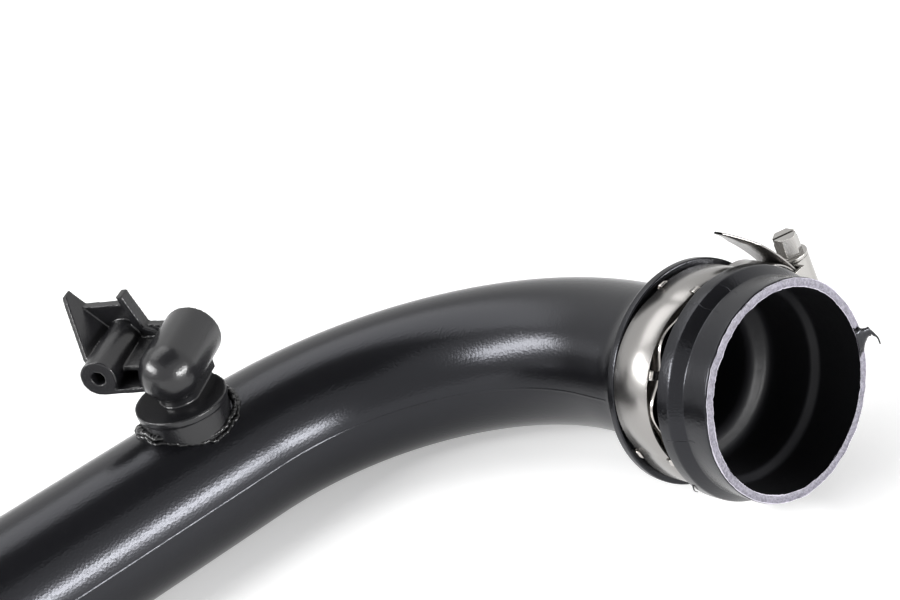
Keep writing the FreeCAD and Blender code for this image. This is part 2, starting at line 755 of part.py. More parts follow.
for item in doc.Objects:
    if "Invalid" in item.State or "Error" in item.State:
        raise RuntimeError("%s failed: %s" % (item.Name, item.State))
os.makedirs("parts", exist_ok=True)
for piece, place in places:
    if piece.Shape.isNull() or not piece.Shape.isValid():
        raise RuntimeError(piece.Label + " is not a valid solid")
    if len(piece.Shape.Solids) != 1:
        raise RuntimeError("%s has %d solids" % (piece.Label, len(piece.Shape.Solids)))
for piece, place in places:
    piece.Shape.exportStep("parts/%s.step" % piece.Label)
    print("%-14s %10.1f mm3" % (piece.Label, piece.Shape.Volume))
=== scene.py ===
"""Looks of the charge air hose: satin black duct, moulded sensor port, stainless worm clamp.

Places are worked out in millimetres in the duct's own axes: the far end's centre is the origin, the
straight run goes along +X, the bend turns to -Y and +Z is up.  to_frame() tips them to rest on the floor.
"""

import math

import bmesh
import bpy
import numpy as np
from mathutils import Matrix, Vector


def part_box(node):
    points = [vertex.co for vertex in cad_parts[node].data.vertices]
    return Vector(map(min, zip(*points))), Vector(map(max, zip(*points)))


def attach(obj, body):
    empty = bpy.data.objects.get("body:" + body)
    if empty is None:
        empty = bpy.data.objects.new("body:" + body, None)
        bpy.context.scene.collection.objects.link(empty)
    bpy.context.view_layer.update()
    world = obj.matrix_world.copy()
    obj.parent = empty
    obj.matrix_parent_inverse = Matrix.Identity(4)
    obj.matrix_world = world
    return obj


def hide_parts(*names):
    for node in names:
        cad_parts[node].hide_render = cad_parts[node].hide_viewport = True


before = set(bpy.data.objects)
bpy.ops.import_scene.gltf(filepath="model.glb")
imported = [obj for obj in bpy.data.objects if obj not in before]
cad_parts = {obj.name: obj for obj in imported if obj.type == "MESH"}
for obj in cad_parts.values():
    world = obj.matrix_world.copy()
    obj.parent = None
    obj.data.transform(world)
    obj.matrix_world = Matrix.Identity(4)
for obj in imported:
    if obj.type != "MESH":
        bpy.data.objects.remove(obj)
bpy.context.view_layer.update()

# Sizes of the duct, as in the solids.
PIPE, BORE = 27.5, 25.0
STRAIGHT, BEND = 200.0, 107.0
BEND_LENGTH = BEND * math.pi / 2
COLLAR_AT = BEND + 31.0
COLLAR_S = STRAIGHT + BEND_LENGTH + COLLAR_AT - BEND
FLARE_LENGTH, FLARE_RADIUS = 17.0, 22.0
COLLAR, GROOVE, RIDGE, SLEEVE, MOUTH, SOCKET, MOUTH_BORE = 40.0, 35.8, 40.5, 37.6, 38.2, 32.6, 35.0
COLLAR_END, GROOVE_END, RIDGE_END, CONE_END, MOUTH_END = 3.2, 24.8, 30.0, 34.3, 45.5
RIM_S = COLLAR_S + MOUTH_END
TILT = math.atan2(COLLAR, COLLAR_AT) - math.asin(PIPE / math.hypot(COLLAR_AT, COLLAR))

hose_low, hose_high = [np.array(corner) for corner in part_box("hose_body")]
ORIGIN = np.array([hose_low[0], hose_high[1] - PIPE / 1000, PIPE / 1000])
REST = np.array([[1, 0, 0], [0, math.cos(TILT), math.sin(TILT)], [0, -math.sin(TILT), math.cos(TILT)]])

# Points round a ring: enough for the duct, for the ragged rim and for the weld.
FULL_TURN = 2 * math.pi
ROUND = np.linspace(0, FULL_TURN, 208, endpoint=False)
FINE = np.linspace(0, FULL_TURN, 720, endpoint=False)
WELD_ROUND = np.linspace(0, FULL_TURN, 480, endpoint=False)


def to_frame(points):
    """Millimetres in the duct's axes to metres in the frame: tip about X by the rest tilt, then move."""
    return np.asarray(points, float) @ REST.T / 1000 + ORIGIN


def on_path(s, radius, angle):
    """Points round the duct's centre line: s along it, then radius at an angle from the bend's outside."""
    s, radius, angle = np.broadcast_arrays(s, radius, angle)
    turn = np.clip((s - STRAIGHT) / BEND, 0, math.pi / 2)
    before = np.minimum(s, STRAIGHT)
    after = np.maximum(s - STRAIGHT - BEND_LENGTH, 0)
    out = radius * np.cos(angle)
    x = before + (BEND + out) * np.sin(turn)
    y = (BEND + out) * np.cos(turn) - BEND - after
    return np.stack([x, y, radius * np.sin(angle)], -1)


def ripple(angle, seed, waves):
    """Ragged height round a ring: cosines of whole wave numbers with random phase, falling with number."""
    rng = np.random.default_rng(seed)
    numbers = np.arange(1, waves + 1)
    phase = rng.uniform(0, FULL_TURN, waves)
    size = rng.uniform(0.5, 1.0, waves) / numbers ** 0.5
    return (size * np.cos(angle[..., None] * numbers + phase)).sum(-1) / np.sqrt((size ** 2).sum())


def rounded(corners, steps=6):
    """A profile with its corners eased: each corner's third number is how far back the curve starts."""
    corners = np.asarray(corners, float)
    nearly_half = 0.49
    line = [corners[0, :2]]
    for before, corner, after in zip(corners[:-2], corners[1:-1], corners[2:]):
        back, ahead = before[:2] - corner[:2], after[:2] - corner[:2]
        reach = min(corner[2], np.hypot(*back) * nearly_half, np.hypot(*ahead) * nearly_half)
        start = corner[:2] + back / np.hypot(*back) * reach
        end = corner[:2] + ahead / np.hypot(*ahead) * reach
        t = np.linspace(0, 1, steps)[:, None]
        line.extend((1 - t) ** 2 * start + 2 * t * (1 - t) * corner[:2] + t ** 2 * end)
    line.append(corners[-1, :2])
    return np.array(line)


def spread(line, most):
    """The same profile with no step longer than most."""
    pieces = [line[:1]]
    for start, end in zip(line[:-1], line[1:]):
        count = max(1, math.ceil(np.hypot(*(end - start)) / most))
        pieces.append(start + (end - start) * (np.arange(1, count + 1) / count)[:, None])
    return np.concatenate(pieces)


def tube_along(points, radius, sides=8):
    """A thin round thread: circles of a radius, which may change, in the plane square to a line's way."""
    aslant = [0.3, 0.5, 0.8]
    way = np.gradient(points, axis=0)
    way /= np.linalg.norm(way, axis=1)[:, None]
    first = np.cross(way, aslant)
    first /= np.linalg.norm(first, axis=1)[:, None]
    second = np.cross(way, first)
    turn = np.linspace(0, FULL_TURN, sides, endpoint=False)[None, :, None]
    radius = np.broadcast_to(radius, len(points))[:, None, None]
    return points[:, None] + radius * (first[:, None] * np.cos(turn) + second[:, None] * np.sin(turn))


def smooth_line(knots, count):
    """A curve through knots: each coordinate is a cubic blend between neighbours."""
    knots = np.asarray(knots, float)
    slopes = np.gradient(knots, axis=0)
    t = np.linspace(0, len(knots) - 1, count)
    k = np.minimum(t.astype(int), len(knots) - 2)
    u = (t - k)[:, None]
    return ((2 * u ** 3 - 3 * u ** 2 + 1) * knots[k] + (u ** 3 - 2 * u ** 2 + u) * slopes[k]
            + (3 * u ** 2 - 2 * u ** 3) * knots[k + 1] + (u ** 3 - u ** 2) * slopes[k + 1])


def add_piece(name, points, material, body="duct", around=False, along=False, node=None):
    """A mesh from a grid of points: quads between neighbours, closed round the second or the first way."""
    rows, columns = points.shape[:2]
    places = to_frame(points.reshape(-1, 3))
    i = np.arange(rows if along else rows - 1)[:, None]
    j = np.arange(columns if around else columns - 1)[None, :]
    i2, j2 = (i + 1) % rows, (j + 1) % columns
    quads = np.stack(np.broadcast_arrays(i * columns + j, i2 * columns + j,
                                         i2 * columns + j2, i * columns + j2), -1).reshape(-1, 4)
    mesh = bpy.data.meshes.new(name)
    mesh.vertices.add(len(places))
    mesh.vertices.foreach_set("co", places.astype(np.float32).ravel())
    mesh.loops.add(quads.size)
    mesh.loops.foreach_set("vertex_index", quads.astype(np.int32).ravel())
    mesh.polygons.add(len(quads))
    mesh.polygons.foreach_set("loop_start", np.arange(0, quads.size, 4, dtype=np.int32))
    mesh.polygons.foreach_set("use_smooth", np.ones(len(quads), bool))
    mesh.update(calc_edges=True)
    mesh.validate()
    return place(bpy.data.objects.new(name, mesh), material, body, node)


def place(piece, material, body, node):
    """Shows a piece: gives it its material and the body that it moves with, and hides the node that it stands
    for.
    """
    bpy.context.collection.objects.link(piece)
    piece.data.materials.clear()
    piece.data.materials.append(material)
    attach(piece, body)
    if node:
        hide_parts(node)
    return piece


def copy_of(node, name, material, body="duct"):
    """A merged copy of a solid's mesh, for pieces whose looks are the solid's own with eased edges."""
    same_place = 1e-6
    same_plane = math.radians(1)
    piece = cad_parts[node].copy()
    piece.data = piece.data.copy()
    piece.name = name
    piece.parent = None
    edit = bmesh.new()
    edit.from_mesh(piece.data)
    bmesh.ops.remove_doubles(edit, verts=edit.verts, dist=same_place)
    bmesh.ops.dissolve_limit(edit, angle_limit=same_plane, verts=edit.verts, edges=edit.edges)
    for face in edit.faces:
        face.smooth = True
    edit.to_mesh(piece.data)
    edit.free()
    return place(piece, material, body, node)


# Materials

def linear(code):
    """A colour written as sRGB hex, in the linear values that a shader takes."""
    parts = [int(code[k:k + 2], 16) / 255 for k in (0, 2, 4)]
    return [c / 12.92 if c <= 0.04045 else ((c + 0.055) / 1.055) ** 2.4 for c in parts] + [1.0]


def add_node(tree, kind, links=(), **values):
    """One shader node with its settings, its constants and its incoming links."""
    node = tree.nodes.new("ShaderNode" + kind)
    for key, value in values.items():
        if key in node.inputs:
            node.inputs[key].default_value = value
        else:
            setattr(node, key, value)
    for socket, source in links:
        tree.links.new(source, node.inputs[socket])
    return node


def new_material(name, color, roughness, metallic=0.0, grain=None, patches=None, **more):
    """A principled surface, with an optional grain and an optional second colour.

    The grain is of cells of a size in mm, each a low dome of a depth in mm, so a gleam breaks up in dots.
    The patches are of a colour and a size in mm: a noise of that size mixes it over the first.
    """
    material = bpy.data.materials.new(name)
    material.use_nodes = True
    tree = material.node_tree
    shader = tree.nodes["Principled BSDF"]
    shader.inputs["Base Color"].default_value = linear(color)
    shader.inputs["Roughness"].default_value = roughness
    shader.inputs["Metallic"].default_value = metallic
    for key, value in more.items():
        shader.inputs[key.replace("_", " ")].default_value = value
    place_in = add_node(tree, "TexCoord")
    if patches:
        second, size = patches
        noise = add_node(tree, "TexNoise", [("Vector", place_in.outputs["Object"])],
                         Scale=1000 / size, Detail=3.0, Roughness=0.7)
        share = add_node(tree, "MapRange", [("Value", noise.outputs["Fac"])],
                         **{"From Min": 0.4, "From Max": 0.6})
        mixed = add_node(tree, "MixRGB", [("Fac", share.outputs["Result"])],
                         Color1=linear(color), Color2=linear(second))
        tree.links.new(mixed.outputs["Color"], shader.inputs["Base Color"])
    if grain:
        size, depth = grain
        cells = add_node(tree, "TexVoronoi", [("Vector", place_in.outputs["Object"])], Scale=1000 / size)
        domes = add_node(tree, "Math", [(0, cells.outputs["Distance"])], operation="POWER")
        domes.inputs[1].default_value = 2.0
        bump = add_node(tree, "Bump", [("Height", domes.outputs[0])], Strength=1.0, Distance=depth / 1000)
        tree.links.new(bump.outputs["Normal"], shader.inputs["Normal"])
    return material


# Blow-moulded polyamide: black, satin, with a fine sparkle in its highlights.  The grain of this and of
# the port is drawn coarser than the real one, so that it shows.
duct_plastic = new_material("duct_plastic", "0b0b0d", 0.23, grain=(0.9, 0.03), Specular_IOR_Level=0.4,
                            Specular_Tint=linear("eef0fa"))
# The same plastic inside: duller, with broad low domes where no mould touched it, and paler than the outside
# as painted light for the light that comes in at the mouth.
inner_plastic_painted_light = new_material("inner_plastic_painted_light", "1a1a1c", 0.36, grain=(3.0, 0.04), Specular_IOR_Level=0.14)
# Injection-moulded plastic of the port: a shade paler than the duct, as painted fill light on its shaded
# faces, with the same sheen.
port_plastic = new_material("port_plastic", "161618", 0.25, grain=(0.9, 0.03), Specular_IOR_Level=0.5)
# Plastic squeezed out by the weld: glossy black.
weld_plastic = new_material("weld_plastic", "0c0c0d", 0.16, grain=(1.6, 0.08))
# Knife-cut plastic of the rim: grey and rough, paler in patches where the cut whitened it.
cut_plastic = new_material("cut_plastic", "4e4c55", 0.55, grain=(0.9, 0.08), patches=("6e6b76", 0.9))
# Burrs along the rim's edges, of the same plastic; their pale colour is a painted highlight along each edge.
burr_with_painted_highlight = new_material("burr_with_painted_highlight", "a5a2ac", 0.5)
# Rolled stainless strip: bright, with a soft reflection.
band_steel = new_material("band_steel", "949290", 0.27, 1.0, grain=(2.5, 0.01))
# Spring strip: paler and shinier than the band.
spring_steel = new_material("spring_steel", "b5b1ad", 0.2, 1.0)
# Pressed housing and plated screw: smooth and bright.
screw_steel = new_material("screw_steel", "a9a7a4", 0.22, 1.0)


# Duct

LONGEST_STEP = 3.0
# A point of the flare next to the collar, from which the collar's first corner is eased.
FLARE_EDGE = (-1.0, 38.6, 0)
RIM_EASE = 0.5
# Lengths of the two slanted steps inside.
SOCKET_RUN, MOUTH_RUN = 2.4, 2.5
# How far the knife wandered along the axis.
WANDER = 0.22


def flare_line():
    """The flare: an arc from the pipe out to the collar's back edge, with its centre outside the wall."""
    start, end = np.array([-FLARE_LENGTH, PIPE]), np.array([0.0, COLLAR])
    chord = end - start
    across = np.array([-chord[1], chord[0]]) / np.hypot(*chord)
    centre = (start + end) / 2 + across * math.sqrt(FLARE_RADIUS ** 2 - (chord ** 2).sum() / 4)
    first = math.atan2(start[1] - centre[1], start[0] - centre[0])
    last = math.atan2(end[1] - centre[1], end[0] - centre[0])
    t = np.linspace(first, last, 14)[:-1]
    return centre + FLARE_RADIUS * np.stack([np.cos(t), np.sin(t)], -1)


def knife_wander(profile):
    """The cut end's uneven length round the axis: none up to the cone, then growing as a cube to the rim."""
    share = np.clip((profile[:, 0] - CONE_END) / (MOUTH_END - CONE_END), 0, 1)[:, None]
    return share ** 3 * ripple(ROUND, 4, 40) * WANDER


coupling = rounded([
    FLARE_EDGE, (0.0, COLLAR, 0.8), (COLLAR_END, COLLAR, 0.7), (COLLAR_END, GROOVE, 0.5),
    (GROOVE_END, GROOVE, 0.5), (GROOVE_END, RIDGE, 0.6), (RIDGE_END, RIDGE, 0.7),
    (CONE_END, SLEEVE, 0.35), (MOUTH_END - RIM_EASE, MOUTH, 0.4), (MOUTH_END, MOUTH - RIM_EASE, 0),
])
outer = spread(np.concatenate([[[-COLLAR_S, PIPE]], flare_line(), coupling]), LONGEST_STEP)
add_piece("duct_outside", on_path(outer[:, :1] + COLLAR_S + knife_wander(outer), outer[:, 1:], ROUND),
          duct_plastic, around=True, node="hose_body")

inner = spread(rounded([
    (-COLLAR_S, BORE, 0), (COLLAR_END, BORE, 3.0), (COLLAR_END + SOCKET_RUN, SOCKET, 2.6),
    (GROOVE_END, SOCKET, 0.8), (GROOVE_END + MOUTH_RUN, MOUTH_BORE, 0.8), (MOUTH_END, MOUTH_BORE, 0),
]), LONGEST_STEP)
add_piece("duct_inside", on_path(inner[:, :1] + COLLAR_S + knife_wander(inner), inner[:, 1:], -ROUND),
          inner_plastic_painted_light, around=True)

# The cut rim: a low crowned ring between the outside's end and the bore's, wandering as the knife did.
RIM_INSET, RIM_LAP = 0.35, 0.1
RAGGED_OUT, RAGGED_IN = 0.08, 0.09
RIM_CROWN, KNIFE_MARKS = 0.25, 0.12
across = np.linspace(0, 1, 9)[:, None]
edge_out = MOUTH - RIM_INSET + RAGGED_OUT * ripple(FINE, 11, 90)
edge_in = MOUTH_BORE + RIM_LAP + RAGGED_IN * ripple(FINE, 12, 110)
lift = (RIM_CROWN * np.sin(across * math.pi) + WANDER * ripple(FINE, 4, 40)
        + KNIFE_MARKS * ripple(FINE, 13, 140))
add_piece("cut_rim", on_path(RIM_S + lift, edge_out + (edge_in - edge_out) * across, FINE),
          cut_plastic, around=True)

# Burrs on both edges of the rim: threads whose thickness comes and goes round it, pale as a painted
# highlight.
BURR, BURR_VARIES, BURR_LEAST = 0.1, 0.09, 0.02
for name, edge, seed in (("rim_burr_highlight_outer", edge_out, 61), ("rim_burr_highlight_inner", edge_in, 62)):
    thick = np.clip(BURR + BURR_VARIES * ripple(FINE, seed, 30), BURR_LEAST, None)
    ring = on_path(RIM_S + lift[0], edge, FINE)
    add_piece(name, tube_along(ring, thick, 6), burr_with_painted_highlight, around=True, along=True)

# The far end's rim: a ring that stands out very slightly between its two edges.
FAR_EASE, FAR_PROUD = 0.6, 0.05
far_radius = np.array([[BORE], [BORE + FAR_EASE], [PIPE - FAR_EASE], [PIPE]])
far_s = np.array([[0.0], [-FAR_PROUD], [-FAR_PROUD], [0.0]])
add_piece("far_end_rim", on_path(far_s, far_radius, ROUND), cut_plastic, around=True)

# The parting line: a low ridge on the bend's inner side, from the far end until it sinks into the flare.
SEAM_HIGH, SEAM_SUNK, SEAM_HALF = 0.12, 0.03, 0.8
along_seam = np.concatenate([np.linspace(0, COLLAR_S - FLARE_LENGTH, 260), COLLAR_S + flare_line()[1:, 0]])
side = np.linspace(-1, 1, 9)[None, :]
seam_height = SEAM_HIGH * (np.cos(side * math.pi) + 1) / 2 - SEAM_SUNK
add_piece("parting_line", on_path(along_seam[:, None], PIPE + seam_height, math.pi + side * SEAM_HALF / PIPE),
          duct_plastic)

# A sliver torn from the rim: wide at its root, curled out and down to a thin tip.
# Its knots are of a radius in mm and an angle in degrees, and past its fold it is narrower.
SLIVER_POINTS, SLIVER_FOLD = 30, 14
SLIVER_ABOVE, SLIVER_RISE, SLIVER_DEEP = 0.45, 1.2, 0.35
SLIVER_KNOTS = [(35.1, -0.8), (37.8, 0.4), (40.8, 1.0), (42.6, -1.6), (43.9, -4.4), (44.3, -7.4)]
SLIVER_HALVES = [5.04, 3.36, 1.82, 1.12, 0.21]
sliver_line = smooth_line(SLIVER_KNOTS, SLIVER_POINTS)
sliver_half = np.interp(np.linspace(0, 1, SLIVER_POINTS), [0, 0.18, 0.4, 0.75, 1], SLIVER_HALVES)
sliver_half = sliver_half * (1 + 0.2 * ripple(np.linspace(0, 5, SLIVER_POINTS), 31, 9))
narrowed = np.where(np.arange(SLIVER_POINTS) < SLIVER_FOLD, 1.0, 0.6) * sliver_half
lay = np.array([-1, -0.5, 0.5, 1, 0.5, -0.5])
deep = SLIVER_DEEP * np.array([0, -1, -1, 0, 1, 1])
sliver_angle = np.radians(sliver_line[:, 1:]) + narrowed[:, None] * lay / sliver_line[:, :1]
sliver_s = RIM_S + SLIVER_ABOVE + deep + np.linspace(0, SLIVER_RISE, SLIVER_POINTS)[:, None]
add_piece("torn_sliver", on_path(sliver_s, sliver_line[:, :1], sliver_angle), duct_plastic, around=True)

# A strand of flash that hangs from the ridge's lower edge.
# Its knots are of mm along the axis, a radius in mm and an angle in degrees.
STRAND_POINTS = 24
STRAND_KNOTS = [(26.9, 40.2, -151.5), (25.6, 41.2, -147.0), (24.0, 41.0, -143.0), (22.8, 40.6, -140.0)]
strand_line = smooth_line(STRAND_KNOTS, STRAND_POINTS)
strand = on_path(COLLAR_S + strand_line[:, 0], strand_line[:, 1], np.radians(strand_line[:, 2]))
strand_radius = np.linspace(0.3, 0.16, STRAND_POINTS)
add_piece("flash_strand", tube_along(strand, strand_radius), duct_plastic, around=True)

# Scored lines over the ridge and the cone, each a fine raised thread that follows the outside.
# Each is at an angle in degrees, from and to a place in mm along the axis.
SCORES = ((110.0, 26.0, 37.0), (94.0, 30.5, 37.5), (179.5, 27.0, 37.5))
SCORE_RADIUS, SCORE_SWAY = 0.13, 0.012
for number, (degrees, begin, end) in enumerate(SCORES):
    along = np.linspace(begin, end, 40)
    height = np.interp(along, outer[:, 0], outer[:, 1])
    angle = math.radians(degrees) + SCORE_SWAY * ripple(along / 3, 40 + number, 5)
    thread = on_path(COLLAR_S + along, height, angle)
    add_piece("scored_line_%d" % number, tube_along(thread, SCORE_RADIUS), duct_plastic, around=True)


# Sensor port

PORT_X, PORT_LEAN, PORT_TURN = STRAIGHT - 17.5, math.radians(8), math.radians(36)
PORT_VOXEL_M = 0.00038

port = copy_of("sensor_port", "port", port_plastic)
remesh = port.modifiers.new("eased", "REMESH")
remesh.mode = "VOXEL"
remesh.voxel_size = PORT_VOXEL_M
remesh.use_smooth_shade = True
soften = port.modifiers.new("soft_edges", "SMOOTH")
soften.factor = 0.5
soften.iterations = 3

# The weld's flash: two ragged beads where the foot meets the pipe, squeezed out most at three places.
# The foot's radius and its middle are in mm, and the three places are in degrees from +X.
WELD, WELD_X, WELD_Y = 16.9, 1.6, 1.0
SPILL, LUMP, FRONT = 168, 196, -42
BEAD_THICK, BEAD_FLAT, BEAD_LEAST = 0.95, 0.8, 0.3
turned = WELD_ROUND + PORT_TURN
section = np.linspace(0, FULL_TURN, 12, endpoint=False)


def swell(degrees, width):
    """A smooth rise round the weld, in the pipe's own direction: a bell over an angle."""
    gap = (turned - math.radians(degrees) + math.pi) % FULL_TURN - math.pi
    return np.exp(-(gap / math.radians(width)) ** 2)


def weld_bead(name, outside, lift, seed):
    """A closed bead: an uneven oval section swept round the foot's outline, at the pipe's height."""
    reach = (WELD + outside + 2.2 * swell(SPILL, 26) + 0.8 * swell(FRONT, 24) + 1.0 * swell(LUMP, 8)
             + 0.3 * ripple(WELD_ROUND, seed, 40))
    thick = (BEAD_THICK + 0.55 * swell(SPILL, 40) + 0.5 * swell(LUMP, 8)
             + 0.3 * ripple(WELD_ROUND, seed + 1, 70))
    flat = BEAD_FLAT + 0.5 * swell(SPILL, 30) + 0.3 * ripple(WELD_ROUND, seed + 2, 90)
    ring = reach[:, None] + np.clip(thick, BEAD_LEAST, None)[:, None] * np.cos(section)
    x = WELD_X + ring * np.cos(turned)[:, None]
    y = WELD_Y + ring * np.sin(turned)[:, None]
    middle = np.clip(WELD_Y + reach * np.sin(turned), -PIPE, PIPE)
    level = np.sqrt(PIPE ** 2 - middle ** 2) + lift + 0.2 * ripple(WELD_ROUND, seed + 3, 60)
    z = level[:, None] + np.clip(flat, BEAD_LEAST, None)[:, None] * np.sin(section)
    leaned_y = y * math.cos(PORT_LEAN) - z * math.sin(PORT_LEAN)
    leaned_z = y * math.sin(PORT_LEAN) + z * math.cos(PORT_LEAN)
    add_piece(name, np.stack([x + PORT_X, leaned_y, leaned_z], -1), weld_plastic, around=True, along=True)


weld_bead("weld_flash_upper", -0.2, 1.5, 21)
weld_bead("weld_flash_lower", 0.7, 0.2, 51)


# Worm clamp, in the clamp's plane: angles from +X towards +Z, and a along the mouth's axis from the collar

BAND_WIDTH, BAND_THICK, BAND_EASE, BAND_MIDDLE, BAND = 15.8, 0.8, 0.22, 12.6, 37.6
LOBE_AT, LOBE_OUT, LOBE = math.radians(151.5), 9.2, 31.7
HOUSE_AT, HOUSE_OUT, HOUSE_SHIFT, HOUSE = math.radians(6.0), 26.6, 10.3, 16.0
HOUSE_LENGTH, HOUSE_WALL, HOUSE_CLEARANCE = 14.0, 1.0, 0.3
HALF_HOUSE = HOUSE_LENGTH / 2
LAYER_GAP = 0.15
LAYER = BAND_THICK + LAYER_GAP
TAIL, TAIL_LENGTH, TAIL_TAPER, TAIL_TIP = 86.0, 33.4, 13.0, 4.0
SCREW_RADIUS = 4.8
WAVES, WAVE_AT = 9, math.radians(28.5)
LINER_WIDTH, LINER_THICK, LINER_EASE = 18.0, 0.4, 0.08
# From the liner's middle line to the groove or to the band: half its thickness and the same again.
LINER_OFF = 0.4
# Angles in radians: the liner's open end, and how far to each side the band is looked at above it.
LINER_OPEN, LINER_LOOK = 0.06, 0.06
LINER_LOW = GROOVE + LINER_OFF
# A tab's wall and tip, in mm from the band's middle, then its half length round the band.
TAB_WALL, TAB_TIP, TAB_HALF = 8.9, 6.7, 1.6
# How far a tab stands over the band at its bend and at its tip, and how far its bend is eased.
TAB_BEND_LIFT, TAB_TIP_LIFT, TAB_EASE = 0.5, 0.35, 0.7
TABS_AT, LUG_AT = (98.3, 198.0, 298.0), 148.5
TAB_SHEET_M, LUG_SHEET_M = 0.0004, 0.0005


def in_clamp(x, z, a):
    """From the clamp's plane to the duct's axes."""
    x, z, a = np.broadcast_arrays(x, z, a)
    return np.stack([STRAIGHT + BEND + x, -COLLAR_AT - a, z], -1)


def ways(angle):
    """Unit directions in the clamp's plane."""
    return np.stack([np.cos(angle), np.sin(angle)], -1)


HOUSE_CENTRE = HOUSE_OUT * ways(HOUSE_AT) + HOUSE_SHIFT * ways(HOUSE_AT + math.pi / 2)
HOUSE_WAY, HOUSE_FAR = HOUSE_AT + math.atan2(HOUSE_SHIFT, HOUSE_OUT), math.hypot(HOUSE_SHIFT, HOUSE_OUT)


def band_radius(angle, side=0.0):
    """Distance from the axis to the band's line: the hose's circle, or a lobe that stands further out."""
    found = np.full_like(angle, BAND + side)
    for at, out, radius in ((LOBE_AT, LOBE_OUT, LOBE), (HOUSE_WAY, HOUSE_FAR, HOUSE)):
        inside = (radius + side) ** 2 - (out * np.sin(angle - at)) ** 2
        far = out * np.cos(angle - at) + np.sqrt(np.maximum(inside, 0))
        found = np.where(inside > 0, np.maximum(found, far), found)
    return found


def band_line():
    """The band's middle line: from its fixed end once round, over itself in the housing, out as the tail.

    Each stretch is an arc.  The joined line is then averaged with its neighbours a few times, so that it
    bends like a strip.
    """
    times = 12
    under = HALF_HOUSE / HOUSE
    outer_lobe = HOUSE + LAYER
    begin = HOUSE_CENTRE + HOUSE * ways(HOUSE_AT - under)
    meet = HOUSE_WAY - math.acos((BAND ** 2 + HOUSE_FAR ** 2 - outer_lobe ** 2) / (2 * BAND * HOUSE_FAR))
    angle = np.linspace(math.atan2(begin[1], begin[0]), meet + FULL_TURN, 600)
    loop = band_radius(angle)[:, None] * ways(angle)
    first = BAND * ways(meet) - HOUSE_CENTRE
    leave = HOUSE_AT + under
    over = np.linspace(math.atan2(first[1], first[0]), leave, 60)[1:]
    swing = leave + np.linspace(0, TAIL_LENGTH / TAIL, 60)[1:]
    pivot = HOUSE_CENTRE + (outer_lobe - TAIL) * ways(leave)
    line = np.concatenate([loop, HOUSE_CENTRE + outer_lobe * ways(over), pivot + TAIL * ways(swing)])
    for _ in range(times):
        line[1:-1] = (line[:-2] + 2 * line[1:-1] + line[2:]) / 4
    return line


def strip(line, half_width, half_thick, ease):
    """Sweeps a rounded flat section along a line in the clamp's plane; half_width may change along it."""
    way = np.gradient(line, axis=0)
    way /= np.hypot(way[:, 0], way[:, 1])[:, None]
    normal = np.stack([way[:, 1], -way[:, 0]], -1)
    w, t = np.asarray(half_width)[..., None], half_thick
    section_a = np.array([-1, 1, 1, 1, 1, -1, -1, -1])
    inset_a = np.array([1, 1, 0, 0, 1, 1, 0, 0]) * ease
    section_t = np.array([t, t, t - ease, ease - t, -t, -t, ease - t, t - ease])
    a = section_a * (w - inset_a)
    xz = line[:, None, :] + normal[:, None, :] * section_t[None, :, None]
    return in_clamp(xz[..., 0], xz[..., 1], BAND_MIDDLE + a)


def liner_line():
    """The liner's waves between the groove and the lowest of the band's inside near by and the housing.

    The housing's underside is a flat that ends to both sides of the screw's middle.
    """
    house_under = HOUSE_OUT + HOUSE - BAND_THICK / 2 - HALF_HOUSE ** 2 / (2 * HOUSE)
    house_under -= HOUSE_CLEARANCE + HOUSE_WALL
    angle = WAVE_AT + np.linspace(LINER_OPEN, FULL_TURN - LINER_OPEN, 640)
    rise = (1 - np.cos(WAVES * (angle - WAVE_AT))) / 2
    off_house = angle - HOUSE_AT
    beside = np.abs(house_under * np.tan(off_house) - HOUSE_SHIFT) < 2 * HALF_HOUSE
    covered = beside & (np.cos(off_house) > 0)
    ceiling = np.where(covered, house_under / np.cos(off_house), LOBE_OUT + LOBE)
    near = [band_radius(angle + aside, -BAND_THICK / 2) for aside in (-LINER_LOOK, 0.0, LINER_LOOK)]
    crest = np.minimum(np.min(near, axis=0), ceiling) - LINER_OFF
    wave = LINER_LOW + (crest - LINER_LOW) * rise
    return wave[:, None] * ways(angle)


def hook(angle, outward):
    """A tab folded up from the liner's edge and over the band: a bent strip seen from its side."""
    r = float(band_radius(np.array([angle]), BAND_THICK / 2)[0])
    bend = rounded([(TAB_WALL, LINER_LOW, 0), (TAB_WALL, r + TAB_BEND_LIFT, TAB_EASE),
                    (TAB_TIP, r + TAB_TIP_LIFT, 0)], 5)
    side = np.linspace(-TAB_HALF, TAB_HALF, 5)
    a = BAND_MIDDLE + outward * bend[:, :1]
    radius = bend[:, 1:]
    x = radius * math.cos(angle) - side * math.sin(angle)
    z = radius * math.sin(angle) + side * math.cos(angle)
    return in_clamp(x, z, a)


def add_spring_sheet(name, points, thickness):
    """A piece of spring strip: an open surface with a thickness in metres, half to each side."""
    sheet = add_piece(name, points, spring_steel).modifiers.new("sheet", "SOLIDIFY")
    sheet.thickness = thickness
    sheet.offset = 0.0


line = band_line()
gone = np.concatenate([[0], np.cumsum(np.hypot(*np.diff(line, axis=0).T))])
taper = np.clip((gone[-1] - gone) / TAIL_TAPER, 0, 1)
half_width = TAIL_TIP / 2 + (BAND_WIDTH - TAIL_TIP) / 2 * taper
add_piece("clamp_strip", strip(line, half_width, BAND_THICK / 2, BAND_EASE), band_steel,
          around=True, node="clamp_band")

waves = liner_line()
add_piece("spring_liner", strip(waves, np.full(len(waves), LINER_WIDTH / 2), LINER_THICK / 2, LINER_EASE),
          spring_steel, around=True, node="clamp_liner")
for number, degrees in enumerate(TABS_AT):
    for outward in (-1, 1):
        name = "liner_tab_%d_%d" % (number, outward > 0)
        add_spring_sheet(name, hook(math.radians(degrees), outward), TAB_SHEET_M)
# the lug is the first stretch of a tab, cut off before its bend
add_spring_sheet("liner_lug", hook(math.radians(LUG_AT), 1)[:2], LUG_SHEET_M)

house = copy_of("clamp_housing", "housing", screw_steel)
screw = copy_of("clamp_screw", "screw", screw_steel, "screw")
